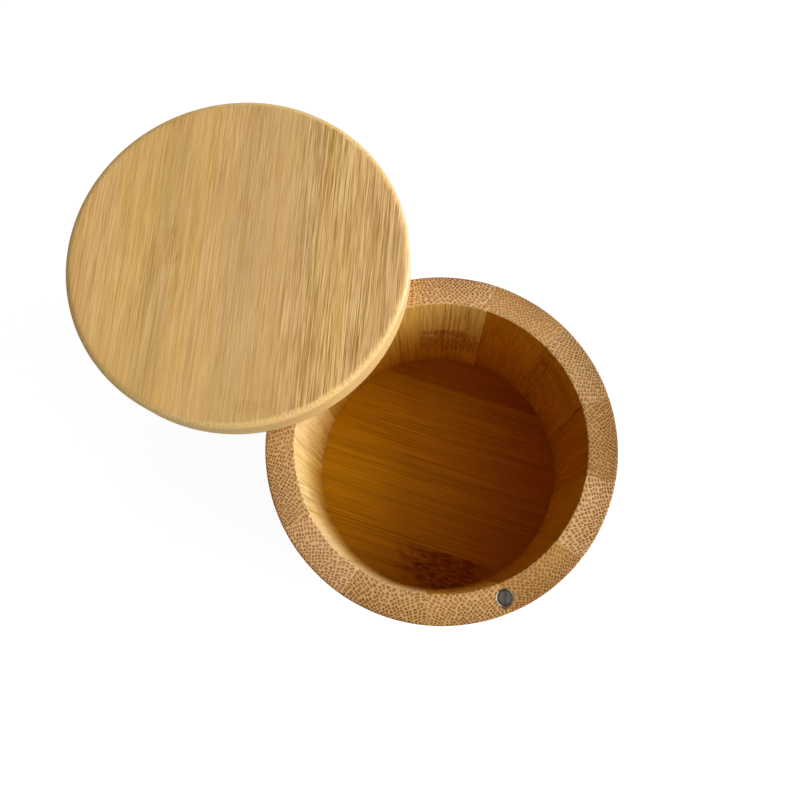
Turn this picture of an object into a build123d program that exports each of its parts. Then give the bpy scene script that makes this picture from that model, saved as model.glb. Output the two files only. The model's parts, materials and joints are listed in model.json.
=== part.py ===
from build123d import *
import os

# A small round bamboo box, such as a salt box, with a lid that swivels sideways on a pin.
# Its wall is a ring of glued staves, its floor a disc of glued strips and its lid a disc of
# cross-laminated plies. Millimetres, +Z up. The origin is the middle of the underside, the
# pin is at the back, on +Y, and the lid stands swung open, as it does while the box is used.

# Wall
outer_radius = 44.5
wall_thickness = 7.6
body_height = 62.5
stave_count = 13
rim_outer_round = 0.7
rim_inner_round = 0.35
base_round = 1.0

# Floor
floor_thickness = 7.0
floor_rebate = 3.0
floor_clearance = 0.15
floor_edge_strip_width = 14.4
floor_joint_shift = 1.4
floor_grain_angle = -35.0

# Lid, from its underside up
back_ply_thickness = 3.0
core_ply_thickness = 3.0
face_ply_thickness = 3.0
lid_top_round = 1.5
lid_under_chamfer = 0.5
lid_gap = 0.3
lid_open_angle = -118.2

# Pivot pin
pin_radius = 1.5
pin_chamfer = 0.3
pin_depth_in_wall = 18.0
pin_length_in_lid = 5.5
pin_wall_clearance = 0.02
pin_running_clearance = 0.05
pivot_angle = 90.0

# Magnets, one in the rim and one in the lid
magnet_radius = 2.0
magnet_thickness = 2.0
magnet_chamfer = 0.25
magnet_clearance = 0.15
magnet_recess = 0.1
magnet_angle = -85.0

# Sizes that follow from the ones above
inner_radius = outer_radius - wall_thickness
rebate_radius = inner_radius + floor_rebate
floor_radius = rebate_radius - floor_clearance
floor_strip_width = floor_radius - floor_edge_strip_width
swing_radius = outer_radius - wall_thickness / 2
stave_angle = 360 / stave_count
pocket_radius = magnet_radius + magnet_clearance
pocket_depth = magnet_thickness + magnet_recess
lid_underside = body_height + lid_gap
core_ply_base = back_ply_thickness
face_ply_base = core_ply_base + core_ply_thickness

# The rim's plane carries the pin's hole and the magnet's pocket. The lid is drawn in a frame
# of its own, as if it were shut, and that frame is turned open about the pin.
rim_plane = Plane.XY.offset(body_height)
pivot = Vector(swing_radius, 0, 0).rotate(Axis.Z, pivot_angle)
lid_centre = pivot - pivot.rotate(Axis.Z, lid_open_angle)
lid_plane = Plane(
    origin=(lid_centre.X, lid_centre.Y, lid_underside),
    x_dir=Vector(1, 0, 0).rotate(Axis.Z, lid_open_angle),
    z_dir=(0, 0, 1),
)

os.makedirs("parts", exist_ok=True)

# Wall staves: each is the wall's section, turned about the box's axis through one stave's
# angle. The floor sits in the rebate at the foot of the section. One glue joint lies at the
# magnet, so the two staves beside it share the pocket, and the pin's hole is in one stave.
for number in range(1, stave_count + 1):
    start_angle = magnet_angle + (number - 1) * stave_angle
    with BuildPart() as stave:
        with BuildSketch(Plane.XZ.rotated((0, 0, start_angle))) as wall_section:
            with BuildLine():
                Polyline(
                    (inner_radius, floor_thickness),
                    (inner_radius, body_height),
                    (outer_radius, body_height),
                    (outer_radius, 0),
                    (rebate_radius, 0),
                    (rebate_radius, floor_thickness),
                    close=True,
                )
            make_face()
            rim_corners = wall_section.vertices().group_by(Axis.Y)[-1].sort_by(Axis.X)
            foot_corners = wall_section.vertices().group_by(Axis.Y)[0].sort_by(Axis.X)
            fillet(rim_corners[0], rim_inner_round)
            fillet(rim_corners[-1], rim_outer_round)
            fillet(foot_corners[-1], base_round)
        revolve(axis=Axis.Z, revolution_arc=stave_angle)
        with BuildSketch(rim_plane):
            with PolarLocations(swing_radius, 1, start_angle=pivot_angle):
                Circle(pin_radius + pin_wall_clearance)
        extrude(amount=-pin_depth_in_wall, mode=Mode.SUBTRACT)
        with BuildSketch(rim_plane):
            with PolarLocations(swing_radius, 1, start_angle=magnet_angle):
                Circle(pocket_radius)
        extrude(amount=-pocket_depth, mode=Mode.SUBTRACT)
    stave.part.label = f"wall_stave_{number:02d}"
    export_step(stave.part, f"parts/wall_stave_{number:02d}.step")

# Floor strips: two wide strips and a narrower one at each edge, glued side by side and turned
# to one disc. The glue joints lie a little off the middle. The disc sits up against the
# shoulder of the rebate, with its underside level with the foot of the wall.
floor_joints = [floor_joint_shift + place * floor_strip_width for place in (-1, 0, 1)]
strip_sides = [-rebate_radius, *floor_joints, rebate_radius]
for number, (low_side, high_side) in enumerate(zip(strip_sides, strip_sides[1:]), start=1):
    with BuildPart() as strip:
        with BuildSketch(Plane.XY.rotated((0, 0, floor_grain_angle))):
            Circle(floor_radius)
            with Locations((0, (low_side + high_side) / 2)):
                Rectangle(2 * rebate_radius, high_side - low_side, mode=Mode.INTERSECT)
        extrude(amount=floor_thickness)
    strip.part.label = f"floor_strip_{number}"
    export_step(strip.part, f"parts/floor_strip_{number}.step")

# Lid back ply: the underside of the lid, with the pin's hole through it and a pocket for
# the lid's magnet, which comes over the rim's magnet when the lid is shut.
with BuildPart() as back_ply:
    with BuildSketch(lid_plane):
        Circle(outer_radius)
        with PolarLocations(swing_radius, 1, start_angle=pivot_angle):
            Circle(pin_radius + pin_running_clearance, mode=Mode.SUBTRACT)
    extrude(amount=back_ply_thickness)
    with BuildSketch(lid_plane):
        with PolarLocations(swing_radius, 1, start_angle=magnet_angle):
            Circle(pocket_radius)
    extrude(amount=pocket_depth, mode=Mode.SUBTRACT)
    underside_edges = back_ply.edges().filter_by(GeomType.CIRCLE).group_by(Axis.Z)[0]
    chamfer(underside_edges.sort_by(SortBy.RADIUS)[-1], lid_under_chamfer)
back_ply.part.label = "lid_back_ply"
export_step(back_ply.part, "parts/lid_back_ply.step")

# Lid core ply: its grain runs across the other two, and the pin ends inside it.
with BuildPart() as core_ply:
    with BuildSketch(lid_plane.offset(core_ply_base)):
        Circle(outer_radius)
        with PolarLocations(swing_radius, 1, start_angle=pivot_angle):
            Circle(pin_radius + pin_running_clearance, mode=Mode.SUBTRACT)
    extrude(amount=core_ply_thickness)
core_ply.part.label = "lid_core_ply"
export_step(core_ply.part, "parts/lid_core_ply.step")

# Lid face ply: the plain top of the lid, with its edge well rounded over.
with BuildPart() as face_ply:
    with BuildSketch(lid_plane.offset(face_ply_base)):
        Circle(outer_radius)
    extrude(amount=face_ply_thickness)
    fillet(face_ply.edges().group_by(Axis.Z)[-1], lid_top_round)
face_ply.part.label = "lid_face_ply"
export_step(face_ply.part, "parts/lid_face_ply.step")

# Pivot pin: a plain steel dowel with chamfered ends. It is driven to the bottom of its hole
# in the wall and stands up out of the rim, and the lid turns on what stands up.
with BuildPart() as pivot_pin:
    with BuildSketch(rim_plane.offset(-pin_depth_in_wall)):
        with PolarLocations(swing_radius, 1, start_angle=pivot_angle):
            Circle(pin_radius)
    extrude(amount=pin_depth_in_wall + lid_gap + pin_length_in_lid)
    chamfer(pivot_pin.edges().filter_by(GeomType.CIRCLE), pin_chamfer)
pivot_pin.part.label = "pivot_pin"
export_step(pivot_pin.part, "parts/pivot_pin.step")

# Rim magnet: a disc on the bottom of its pocket, a hair below the rim.
with BuildPart() as rim_magnet:
    with BuildSketch(rim_plane.offset(-pocket_depth)):
        with PolarLocations(swing_radius, 1, start_angle=magnet_angle):
            Circle(magnet_radius)
    extrude(amount=magnet_thickness)
    chamfer(rim_magnet.edges().filter_by(GeomType.CIRCLE), magnet_chamfer)
rim_magnet.part.label = "rim_magnet"
export_step(rim_magnet.part, "parts/rim_magnet.step")

# Lid magnet: the same disc, up against the roof of its pocket in the lid's underside.
with BuildPart() as lid_magnet:
    with BuildSketch(lid_plane.offset(magnet_recess)):
        with PolarLocations(swing_radius, 1, start_angle=magnet_angle):
            Circle(magnet_radius)
    extrude(amount=magnet_thickness)
    chamfer(lid_magnet.edges().filter_by(GeomType.CIRCLE), magnet_chamfer)
lid_magnet.part.label = "lid_magnet"
export_step(lid_magnet.part, "parts/lid_magnet.step")
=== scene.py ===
"""A small round bamboo box with a lid that swivels on a pin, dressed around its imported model."""

import json
import logging
import math
from dataclasses import dataclass, field, replace
from enum import Enum

import bpy
import numpy as np
from mathutils import Matrix, Vector


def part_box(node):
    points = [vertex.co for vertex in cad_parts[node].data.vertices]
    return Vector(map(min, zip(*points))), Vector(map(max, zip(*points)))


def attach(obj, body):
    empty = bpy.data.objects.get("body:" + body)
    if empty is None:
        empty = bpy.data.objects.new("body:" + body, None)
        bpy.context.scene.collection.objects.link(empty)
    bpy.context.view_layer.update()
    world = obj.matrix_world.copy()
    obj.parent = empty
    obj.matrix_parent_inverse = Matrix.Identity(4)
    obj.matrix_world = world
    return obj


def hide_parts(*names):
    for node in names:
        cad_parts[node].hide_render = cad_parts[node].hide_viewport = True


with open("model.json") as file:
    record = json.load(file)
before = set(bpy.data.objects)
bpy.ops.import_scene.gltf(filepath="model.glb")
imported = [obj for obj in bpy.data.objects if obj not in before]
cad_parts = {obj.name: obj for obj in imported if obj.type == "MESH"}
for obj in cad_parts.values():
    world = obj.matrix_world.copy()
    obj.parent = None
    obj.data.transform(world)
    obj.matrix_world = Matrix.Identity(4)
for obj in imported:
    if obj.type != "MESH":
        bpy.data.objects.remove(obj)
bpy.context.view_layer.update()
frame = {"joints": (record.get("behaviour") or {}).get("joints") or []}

log = logging.getLogger("scene")

METRE = 0.001  # of a millimetre: sizes below are in millimetres, and meshes are in metres
PICTURE_RIGHT = -16.88  # the heading, in degrees from +X, that is level and to the right in the picture
SHARP = 35.0  # edges that turn by more degrees than this stay sharp
SAME_PLACE = 1e-6  # points nearer to each other than this are one
BORE_STEPS = 64  # how many flat sides a bored hole has
BORE_CLEAR = 1.0  # how far the cutter of a bore stands out of the piece
SRGB_KNEE, SRGB_SLOPE, SRGB_OFFSET, SRGB_POWER = 0.04045, 12.92, 0.055, 2.4

FOOT_SHADE = (226, 181, 71)  # painted shade: the usual darker, more orange colour at the foot of the inner wall
RIM_HIGHLIGHT_COLOUR = (236, 204, 150)  # painted highlight: the pale colour of the rim's inner edge where light catches it
CORNER_SHADE_TINT = (0.6, 0.42, 0.28, 1.0)  # painted shade: what the darkening in the corner at the foot of the inner wall leaves of each colour
WHITE = (1.0, 1.0, 1.0, 1.0)

Colour = tuple[int, int, int]
Point = tuple[float, float]
Triple = tuple[float, float, float]
Value = "Wire | float | tuple[float, ...]"


def linear(colour: Colour) -> tuple[float, ...]:
    """Turns a colour as it looks on a screen into the value that a shader takes.

    Args:
        colour: red, green and blue in sRGB, 0 to 255.

    Returns:
        The linear RGBA value, by the sRGB curve.
    """
    shares = np.array(colour) / 255
    curved = ((shares + SRGB_OFFSET) / (1 + SRGB_OFFSET)) ** SRGB_POWER
    return (*np.where(shares <= SRGB_KNEE, shares / SRGB_SLOPE, curved).tolist(), 1.0)


def turned(radius: float, heading: float) -> Point:
    """The x and y of a point at this radius, at a heading in degrees from +X."""
    angle = math.radians(heading)
    return radius * math.cos(angle), radius * math.sin(angle)


def raised(heading: float, elevation: float) -> Triple:
    """The unit vector at this heading and at this elevation, both in degrees."""
    rise = math.radians(elevation)
    return (*turned(math.cos(rise), heading), math.sin(rise))


def upright_place(node: str) -> tuple[Point, float, float]:
    """Finds where an upright round CAD node is, in millimetres.

    Args:
        node: the node's name.

    Returns:
        Its axis as x and y, and its lower and upper heights.
    """
    low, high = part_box(node)
    axis = ((low.x + high.x) / 2 / METRE, (low.y + high.y) / 2 / METRE)
    return axis, low.z / METRE, high.z / METRE


# Shapes


@dataclass(frozen=True)
class Run:
    """A stretch of a section: its points as (radius, height) rows, and whether it shows."""

    points: np.ndarray
    shows: bool = True


def straight(corners: list[Point], steps: list[int], shows: bool = True) -> Run:
    """A run that goes straight from corner to corner.

    Args:
        corners: its corners, as radius and height.
        steps: how many equal steps there are from each corner to the next.
        shows: whether the run can be seen on the finished piece.

    Returns:
        The run, whose points are start + (end - start) * t for t from 0 to 1, leg by leg.
    """
    starts, ends = np.array(corners[:-1], float), np.array(corners[1:], float)
    legs = [
        start + (end - start) * np.linspace(0.0, 1.0, count + 1)[:, None]
        for start, end, count in zip(starts, ends, steps)
    ]
    return Run(np.vstack(legs), shows)


def rounded(centre: Point, radius: float, start: float, end: float, steps: int, stretch: float = 1.0) -> Run:
    """A round run of a section.

    Args:
        centre: the round's centre, as radius and height.
        radius: the round's radius.
        start: the first point's angle in degrees, where 0 points away from the axis.
        end: the last point's angle.
        steps: how many equal steps it has.
        stretch: how much wider than tall the round is.

    Returns:
        The run, whose points are centre + radius * (stretch * cos a, sin a).
    """
    angle = np.radians(np.linspace(start, end, steps + 1))
    ring = np.column_stack((stretch * np.cos(angle), np.sin(angle)))
    return Run(np.array(centre) + radius * ring)


@dataclass
class Section:
    """A piece's section: runs joined end to end, with the way out of the piece at each point."""

    runs: list[Run]
    closed: bool = False
    points: np.ndarray = field(init=False)
    shows: np.ndarray = field(init=False)

    def __post_init__(self) -> None:
        """Joins the runs, leaving out each point that repeats the one before it."""
        points = np.vstack([run.points for run in self.runs])
        shows = np.concatenate([np.full(len(run.points), run.shows) for run in self.runs])
        step = np.linalg.norm(np.diff(points, axis=0), axis=1)
        kept = np.concatenate(([True], step > SAME_PLACE))
        if self.closed and np.linalg.norm(points[0] - points[-1]) < SAME_PLACE:
            kept[-1] = False
        self.points, self.shows = points[kept], shows[kept]

    def outward(self) -> np.ndarray:
        """Finds the normals of a closed section.

        Returns:
            A unit normal for each point: its neighbours' chord, turned to the left.
        """
        chord = np.roll(self.points, -1, axis=0) - np.roll(self.points, 1, axis=0)
        normal = np.column_stack((-chord[:, 1], chord[:, 0]))
        return normal / np.linalg.norm(normal, axis=1, keepdims=True)


def to_mesh(
    name: str, points: np.ndarray, faces: list[np.ndarray], sharp: float = SHARP,
) -> bpy.types.Object:
    """Makes an object of points in millimetres and faces, with its faces turned outwards.

    Six times a closed shape's volume is the sum, over its triangles, of a . (b x c). Where that
    is negative the faces are turned round.

    Args:
        name: the object's name.
        points: rows of x, y and z in millimetres.
        faces: arrays of faces, one for each number of sides, with a row of point numbers a face.
        sharp: edges that turn by more degrees than this stay sharp.

    Returns:
        The object, at the origin, with its place in its mesh.
    """
    fans = np.vstack([
        group[:, [0, side, side + 1]] for group in faces for side in range(1, group.shape[1] - 1)
    ])
    a, b, c = points[fans].transpose(1, 0, 2)
    way = -1 if np.einsum("ij,ij->", a, np.cross(b, c)) < 0 else 1
    sides = [face for group in faces for face in group[:, ::way].tolist()]
    mesh = bpy.data.meshes.new(name)
    mesh.from_pydata((points * METRE).tolist(), [], sides)
    mesh.validate()
    mesh.shade_smooth()
    mesh.set_sharp_from_angle(angle=math.radians(sharp))
    piece = bpy.data.objects.new(name, mesh)
    bpy.context.scene.collection.objects.link(piece)
    return piece


def grid_faces(rows: int, columns: int, wrap_rows: bool, wrap_columns: bool) -> np.ndarray:
    """The four-sided faces of a grid of points numbered row by row.

    Args:
        rows: how many rows of points there are.
        columns: how many points a row has.
        wrap_rows: whether the last row is joined to the first.
        wrap_columns: whether the last column is joined to the first.

    Returns:
        A row of four point numbers for each face.
    """
    row = np.arange(rows if wrap_rows else rows - 1)[:, None]
    column = np.arange(columns if wrap_columns else columns - 1)[None, :]
    next_row, next_column = (row + 1) % rows, (column + 1) % columns
    corners = ((row, column), (row, next_column), (next_row, next_column), (next_row, column))
    return np.stack([down * columns + along for down, along in corners], axis=-1).reshape(-1, 4)


def turned_piece(name: str, section: Section, centre: Point, count: int) -> bpy.types.Object:
    """Turns a section that starts and ends on the axis right round it, like work on a lathe.

    A point is (centre + radius * (cos a, sin a), height), for a round the whole circle. The
    section's two ends are single points with a fan of triangles about them.

    Args:
        name: the object's name.
        section: the open section, from axis to axis.
        centre: the axis, as x and y.
        count: how many steps there are round the circle.

    Returns:
        The closed, turned object.
    """
    ring, ends = section.points[1:-1], section.points[[0, -1]]
    angle = np.linspace(0.0, 2 * np.pi, count, endpoint=False)
    radius, height = ring[:, 0][:, None], ring[:, 1][:, None]
    x = centre[0] + radius * np.cos(angle)
    y = centre[1] + radius * np.sin(angle)
    points = np.stack((x, y, np.broadcast_to(height, x.shape)), axis=-1).reshape(-1, 3)
    poles = np.column_stack((np.tile(centre, (2, 1)), ends[:, 1]))
    around = np.arange(count)
    following = (around + 1) % count
    last_ring = (len(ring) - 1) * count
    faces = [
        grid_faces(len(ring), count, False, True),
        np.column_stack((np.full(count, len(points)), following, around)),
        np.column_stack((np.full(count, len(points) + 1), last_ring + around, last_ring + following)),
    ]
    return to_mesh(name, np.vstack((points, poles)), faces)


@dataclass(frozen=True)
class Bore:
    """An upright round hole: its axis as x and y, its radius, and the heights of its ends."""

    centre: Point
    radius: float
    low: float
    high: float

    def cut(self, piece: bpy.types.Object) -> None:
        """Cuts the hole into a piece, for good.

        Args:
            piece: what is bored. It gets a new mesh.
        """
        corners = [(0, self.high), (self.radius, self.high), (self.radius, self.low), (0, self.low)]
        section = Section([straight(corners, [1, 1, 1])])
        cutter = turned_piece(piece.name + "_bore", section, self.centre, BORE_STEPS)
        boolean = piece.modifiers.new("bore", "BOOLEAN")
        boolean.operation, boolean.solver, boolean.object = "DIFFERENCE", "EXACT", cutter
        evaluated = piece.evaluated_get(bpy.context.evaluated_depsgraph_get())
        mesh = bpy.data.meshes.new_from_object(evaluated)
        piece.modifiers.remove(boolean)
        old_mesh, piece.data = piece.data, mesh
        mesh.name = piece.name
        bpy.data.meshes.remove(old_mesh)
        cutter_mesh = cutter.data
        bpy.data.objects.remove(cutter)
        bpy.data.meshes.remove(cutter_mesh)
        mesh.set_sharp_from_angle(angle=math.radians(SHARP))


# Shaders


class Wire:
    """A number or a vector on its way through a shader, with the usual arithmetic.

    A step with a vector or a colour on either side gives a vector, and a number beside it counts
    for all three parts.
    """

    def __init__(self, tree: "ShaderTree", socket: bpy.types.NodeSocket) -> None:
        """Holds the tree and the socket that the value comes out of."""
        self.tree, self.socket = tree, socket

    def __add__(self, other: Value) -> "Wire":
        """The sum."""
        return self.tree.step("ADD", self, other)

    def __sub__(self, other: Value) -> "Wire":
        """The difference."""
        return self.tree.step("SUBTRACT", self, other)

    def __rsub__(self, other: Value) -> "Wire":
        """The difference from a plain value."""
        return self.tree.step("SUBTRACT", other, self)

    def __mul__(self, other: Value) -> "Wire":
        """The product."""
        return self.tree.step("MULTIPLY", self, other)

    def __truediv__(self, other: Value) -> "Wire":
        """The quotient."""
        return self.tree.step("DIVIDE", self, other)

    def __abs__(self) -> "Wire":
        """The value without its sign."""
        return self.tree.step("ABSOLUTE", self)

    def beside(self, output: int | str) -> "Wire":
        """Another output of the same node."""
        return Wire(self.tree, self.socket.node.outputs[output])

    def split(self) -> tuple["Wire", "Wire", "Wire"]:
        """A vector's three parts."""
        x = self.tree.add("SeparateXYZ", {0: self})
        return x, x.beside(1), x.beside(2)

    def ease(self, low: float, high: float, start: float = 0.0, end: float = 1.0) -> "Wire":
        """A number that goes smoothly from start to end as this one goes from low to high."""
        return self.tree.ranged(self, (low, high), (start, end), "SMOOTHSTEP")


@dataclass(frozen=True)
class Noise:
    """A smooth noise: its changes per millimetre along each coordinate, and its character."""

    pitch: Triple
    detail: float = 2.0
    roughness: float = 0.5
    distortion: float = 0.0


class ShaderTree:
    """The nodes of a material or of the world, with a short method for each kind of step."""

    def __init__(self, owner: bpy.types.Material | bpy.types.World) -> None:
        """Takes the owner's tree and empties it.

        Args:
            owner: the material or the world.
        """
        owner.use_nodes = True
        self.owner, self.tree = owner, owner.node_tree
        self.tree.nodes.clear()

    def feed(self, socket: bpy.types.NodeSocket, value: Value) -> None:
        """Links a wire to a socket, or sets the socket to a plain value.

        Args:
            socket: the node's input.
            value: what goes in. A vector takes a number three times.
        """
        if isinstance(value, Wire):
            self.tree.links.new(value.socket, socket)
        elif socket.type == "VECTOR" and isinstance(value, (int, float)):
            socket.default_value = (value, value, value)
        else:
            socket.default_value = value

    def add(
        self, kind: str, inputs: dict[int | str, Value], output: int | str = 0, **settings: object,
    ) -> Wire:
        """Adds a node.

        Args:
            kind: its type, without the ShaderNode before it.
            inputs: what goes into its sockets.
            output: the socket that is wanted.
            settings: its other settings.

        Returns:
            The value at that output.
        """
        node = self.tree.nodes.new("ShaderNode" + kind)
        for name, setting in settings.items():
            setattr(node, name, setting)
        for name, value in inputs.items():
            self.feed(node.inputs[name], value)
        return Wire(self, node.outputs[output])

    def step(self, operation: str, a: Value, b: Value = 0.0) -> Wire:
        """One step of arithmetic, on vectors where either side is one."""
        wide = any(isinstance(x, tuple) or isinstance(x, Wire) and x.socket.type != "VALUE" for x in (a, b))
        return self.add("VectorMath" if wide else "Math", {0: a, 1: b}, operation=operation)

    def dot(self, a: Value, b: Value) -> Wire:
        """The dot product of two vectors."""
        return self.add("VectorMath", {0: a, 1: b}, "Value", operation="DOT_PRODUCT")

    def length(self, a: Value) -> Wire:
        """The length of a vector."""
        return self.add("VectorMath", {0: a}, "Value", operation="LENGTH")

    def join(self, x: Value, y: Value, z: Value) -> Wire:
        """A vector of three numbers."""
        return self.add("CombineXYZ", {0: x, 1: y, 2: z})

    def place(self) -> Wire:
        """The point's place on the object, in millimetres."""
        return self.add("TexCoord", {}, "Object") * (1 / METRE)

    def noise(self, at: Wire, noise: Noise) -> tuple[Wire, Wire]:
        """Adds a smooth noise, 0 to 1 about 0.5.

        Args:
            at: the place that it is for.
            noise: its pitch and character.

        Returns:
            The noise as a number and as a colour.
        """
        number = self.add("TexNoise", {
            "Vector": at * noise.pitch, "Scale": 1.0, "Detail": noise.detail,
            "Roughness": noise.roughness, "Distortion": noise.distortion,
        }, noise_dimensions="3D")
        return number, number.beside(1)

    def cells(self, at: Wire, randomness: float) -> tuple[Wire, Wire, Wire]:
        """Adds a flat pattern of cells, each about 1 wide.

        Args:
            at: the place that it is for.
            randomness: how far the cells' middles leave a square lattice, 0 to 1.

        Returns:
            How far off the cell's middle is, how far off its edge is, and the cell's own colour.
        """
        inputs = {"Vector": at, "Scale": 1.0, "Randomness": randomness}
        middle, edge = (
            self.add("TexVoronoi", inputs, "Distance", voronoi_dimensions="2D", feature=feature)
            for feature in ("F1", "DISTANCE_TO_EDGE")
        )
        return middle, edge, middle.beside("Color")

    def ranged(self, x: Wire, source: Point, target: Point, kind: str = "LINEAR") -> Wire:
        """Carries a number from one range over to another, and keeps it inside.

        Args:
            x: the number.
            source: the range that it comes from.
            target: the range that it is carried to.
            kind: how it goes from end to end.

        Returns:
            The number in the target's range.
        """
        names = ("From Min", "From Max", "To Min", "To Max")
        ends = dict(zip(names, (*source, *target)))
        return self.add("MapRange", {"Value": x, **ends}, interpolation_type=kind)

    def blend(self, share: Value, a: Value, b: Value, kind: str = "MIX") -> Wire:
        """Two colours blended, where a share of 0 gives the first."""
        return self.add("Mix", {0: share, 6: a, 7: b}, 2, data_type="RGBA", blend_type=kind)

    def mix(self, share: Value, a: Wire, b: Wire, output: str) -> None:
        """Ends the tree with two shaders mixed, where a share of 0 gives the first."""
        self.end(self.add("MixShader", {0: share, 1: a, 2: b}), output)

    def end(self, shader: Wire, output: str) -> None:
        """Links the finished shader to an output of this kind."""
        node = self.tree.nodes.new("ShaderNodeOutput" + output)
        self.feed(node.inputs["Surface"], shader)

    def surface(self, inputs: dict[str, Value], relief: Wire, depth: float) -> bpy.types.Material:
        """Ends a material with a Principled shader.

        Args:
            inputs: what goes into the shader's sockets.
            relief: the surface's height, where 1 stands proud by the depth.
            depth: in millimetres.

        Returns:
            The material.
        """
        normal = self.add("Bump", {"Height": relief, "Distance": depth * METRE})
        self.end(self.add("BsdfPrincipled", {**inputs, "Normal": normal}), "Material")
        return self.owner


def new_tree(name: str) -> ShaderTree:
    """The empty shader of a new material."""
    return ShaderTree(bpy.data.materials.new(name))


# Finishes


class Grain(Enum):
    """The way the fibres of a piece run."""

    UPRIGHT = "upright"
    LEVEL = "level"


class Figure(Enum):
    """The noises that figure the wood, by millimetre across, through and along the grain."""

    WANDER = Noise((0.05, 0.05, 0.009), 1.5)  # how the fibres leave the straight
    SHAKE = Noise((0.4, 0.4, 0.01))  # how the bundles leave their lattice
    COARSE = Noise((1.9, 1.0, 0.7), roughness=0.6)  # coarse fibres, where along is per fibre's length
    FINE = Noise((4.4, 2.6, 1.5), roughness=0.65)  # fine fibres, likewise
    GROUP = Noise((0.45, 0.25, 0.012))  # whole groups of fibres
    BROAD = Noise((0.09, 0.05, 0.008))  # the slow drift of tone
    PORE = Noise((6.0, 6.0, 0.4))  # the stipple on cut ends
    CONTOUR = Noise((0.9, 0.4, 0.003), 1.0)  # whose contour the fine lines follow
    LENGTH = Noise((0.6, 0.4, 0.03), 1.0)  # where the fine lines show
    VIGOUR = Noise((0.11, 0.1, 0.03), 1.0)  # where the streaks are strong
    RAGGED = Noise((0.45, 0.4, 0.25))  # the edge of a stem joint's mark
    SPECK = Noise((1.5, 1.0, 0.3), 3.0, 0.6, 0.35)  # the specks and strokes in it


@dataclass(frozen=True)
class Cut:
    """How a piece was sawn: which way its fibres run and where its pattern is centred.

    Attributes:
        grain: upright in the wall, level in the lid and the floor.
        heading: of a level piece's fibres, or of an upright piece's face, in degrees from +X.
        centre: the point of the object where across, through and along are all 0.
        number: tells pieces apart, so that no two have the same pattern.
    """

    grain: Grain
    heading: float
    centre: Triple
    number: int

    def apart(self, steps: tuple[float, ...]) -> tuple[float, ...]:
        """How far the pattern is moved along each coordinate, where each number moves it by the steps."""
        return tuple(self.number * step for step in steps)


@dataclass(frozen=True)
class NodeMark:
    """A place where the stem had a joint: dark, knotted fibres.

    Attributes:
        across: the mark's middle, across the grain.
        along: the mark's middle, along the grain.
        wide: its half width across the grain.
        tall: its half height along the grain.
        strength: how dark it is, 0 to 1.
    """

    across: float
    along: float
    wide: float
    tall: float
    strength: float


@dataclass(frozen=True)
class ToneBand:
    """A strip of the stem that is darker than the rest, side by side with lighter ones.

    Attributes:
        across: the band's middle, across the grain.
        wide: its half width.
        shade: how much darker it is, as a share.
        vigour: how much stronger its streaks are, where 1 doubles them.
        takes: how much of the shade each of red, green and blue takes.
    """

    across: float
    wide: float
    shade: float
    vigour: float = 0.0
    takes: Triple = (1.0, 0.9, 0.7)

    def over(self, across: Wire, inside: float) -> Wire:
        """A number that is this much inside the band and fades to 0 over its outer half."""
        return abs(across - self.across).ease(self.wide / 2, self.wide, inside, 0.0)


@dataclass(frozen=True)
class BambooFinish:
    """Solid bamboo: dots where the fibre bundles are cut across, streaks where they run along.

    Attributes:
        ground: the colour of the sides of the grain.
        end_ground: the colour between the bundles where they are cut across.
        skin_ground: the same, close to the stem's skin.
        bundle: the colour of a bundle cut across.
        line: the colour of the fine dark lines along the grain.
        bundle_pitch: the distance between neighbouring bundles on the inner side of the stem.
        crowding: how much closer they get per millimetre towards the outer side.
        dot_contrast: how strongly the bundles show where they are cut across.
        dot_size: a bundle's radius, where 1 is the distance between neighbours.
        end_reach: how far the surface tilts to the fibres, as a cosine, before the dots begin
            to show, and before they show in full.
        skin_side: the colour of the sides of the grain close to the stem's skin, or None.
        under: the colour of a level piece's bare underside, or None where it is as its top.
        skin_shade: how far the stem's outermost fibres darken to the bundles' colour, 0 to 1.
        edge: a painted highlight: the paler colour of a level piece's rounded edges, weaker on the
            side away from the light, or None.
        streaks: how much lighter and darker the fibres are along the grain.
        grouping: how much whole groups of fibres are lighter or darker.
        lines: how strongly the fine dark lines show.
        shortness: how soon a fibre's tone changes along it, per millimetre.
        tone_drift: how much the tone changes from place to place.
        hue_drift: how much the yellow changes from one group of fibres to the next.
        painted_rim_shade: painted shade: the colour that the inner face of the box is multiplied
            by at its rim, or None.
        painted_foot_shade: the same at its foot.
        rim_highlight: how strongly the rim's inner edge is painted pale as a highlight, 0 to 1.
        far_shade: painted shade: the colour that a level piece is multiplied by towards its far end.
        mark_tint: what the stem's joints leave of red, green and blue.
        bands: darker strips of the stem.
        gloss: the shader's specular level.
    """

    ground: Colour = (218, 187, 130)
    end_ground: Colour = (201, 156, 101)
    skin_ground: Colour = (188, 144, 92)
    bundle: Colour = (98, 58, 16)
    line: Colour = (120, 74, 30)
    bundle_pitch: float = 1.0
    crowding: float = 0.057
    dot_contrast: float = 0.95
    dot_size: float = 0.43
    end_reach: Point = (0.15, 0.45)
    skin_side: Colour | None = None
    under: Colour | None = None
    skin_shade: float = 0.0
    edge: Colour | None = None
    streaks: float = 0.45
    grouping: float = 0.4
    lines: float = 0.5
    shortness: float = 0.03
    tone_drift: float = 0.12
    hue_drift: float = 0.3
    painted_rim_shade: Colour | None = None
    painted_foot_shade: Colour = FOOT_SHADE
    rim_highlight: float = 0.0
    far_shade: Colour | None = None
    mark_tint: Triple = (0.46, 0.17, 0.2)
    bands: tuple[ToneBand, ...] = ()
    gloss: float = 0.2

    def material(self, name: str, cut: Cut, marks: tuple[NodeMark, ...] = ()) -> bpy.types.Material:
        """The finish for one piece, sawn like this and with these joints of the stem on it."""
        return BambooShader(name, self, cut).material(marks)


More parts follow.
